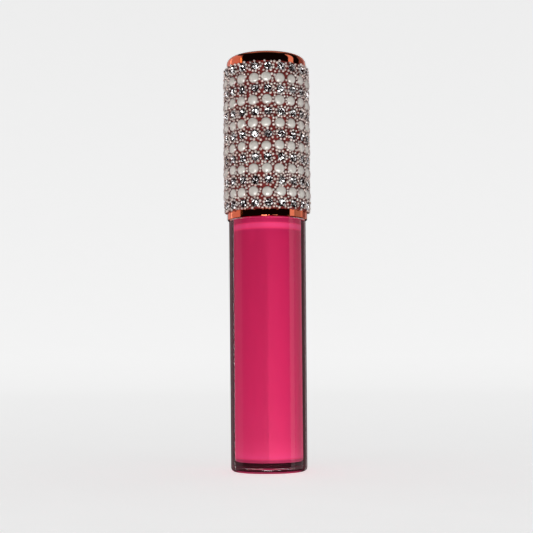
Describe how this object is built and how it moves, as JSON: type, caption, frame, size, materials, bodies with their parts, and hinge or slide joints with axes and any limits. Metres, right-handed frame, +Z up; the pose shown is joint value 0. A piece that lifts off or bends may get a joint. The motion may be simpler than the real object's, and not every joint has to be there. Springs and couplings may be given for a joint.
{
  "type": "lip gloss tube",
  "caption": "Clear thick-walled cosmetic tube of pink gloss with a metal screw cap, a beaded cap wrap and a dip-in applicator.",
  "frame": {"origin": "centre of the flat base that the tube stands on", "axes": "+Z up the tube's axis towards the cap; -Y is the side that faces the viewer, +X to the viewer's right"},
  "size_m": [0.0222, 0.0222, 0.1039],
  "materials": {
    "clear_tube": "clear, polished, thick-walled moulding",
    "natural_plastic": "natural, slightly waxy moulding",
    "pink_gloss": "opaque hot pink liquid gloss",
    "wand_plastic": "smooth moulded rod, stained by gloss low down",
    "flock": "short nylon flock wet with gloss",
    "liner_plastic": "plain moulded liner",
    "rose_gold": "polished, anodised rose gold, mirror bright",
    "wrap_resin": "dark red-brown resin backing sheet",
    "pearl": "ivory pearl lacquer",
    "foiled_crystal": "cut crystal over dark mirror foil",
    "caviar_bead": "pinkish white glass micro beads"
  },
  "bodies": {
    "tube": {"tube_body": "clear_tube", "wiper": "natural_plastic", "gloss_fill": "pink_gloss"},
    "wand": {"applicator_rod": "wand_plastic", "applicator_tip": "flock"},
    "cap": {"inner_cap": "liner_plastic", "cap_shell": "rose_gold", "wrap_backing": "wrap_resin", "pearl_row_1": "pearl", "pearl_row_2": "pearl", "pearl_row_3": "pearl", "pearl_row_4": "pearl", "pearl_row_5": "pearl", "pearl_row_6": "pearl", "crystal_row_1": "foiled_crystal", "crystal_row_2": "foiled_crystal", "crystal_row_3": "foiled_crystal", "crystal_row_4": "foiled_crystal", "crystal_row_5": "foiled_crystal", "crystal_row_6": "foiled_crystal", "crystal_row_7": "foiled_crystal", "bead_ring_row_1": "caviar_bead", "bead_ring_row_2": "caviar_bead", "bead_ring_row_3": "caviar_bead", "bead_ring_row_4": "caviar_bead", "bead_ring_row_5": "caviar_bead", "bead_ring_row_6": "caviar_bead", "bead_ring_row_7": "caviar_bead"}
  },
  "joints": [
    {"name": "wand_pull", "type": "slide", "parent": "tube", "child": "wand", "axis": [0, 0, 1], "range_m": [0, 0.076]},
    {"name": "cap_unscrew", "type": "hinge", "parent": "wand", "child": "cap", "pos_m": [0, 0, 0.07], "axis": [0, 0, 1], "range_deg": [0, 540]}
  ]
}
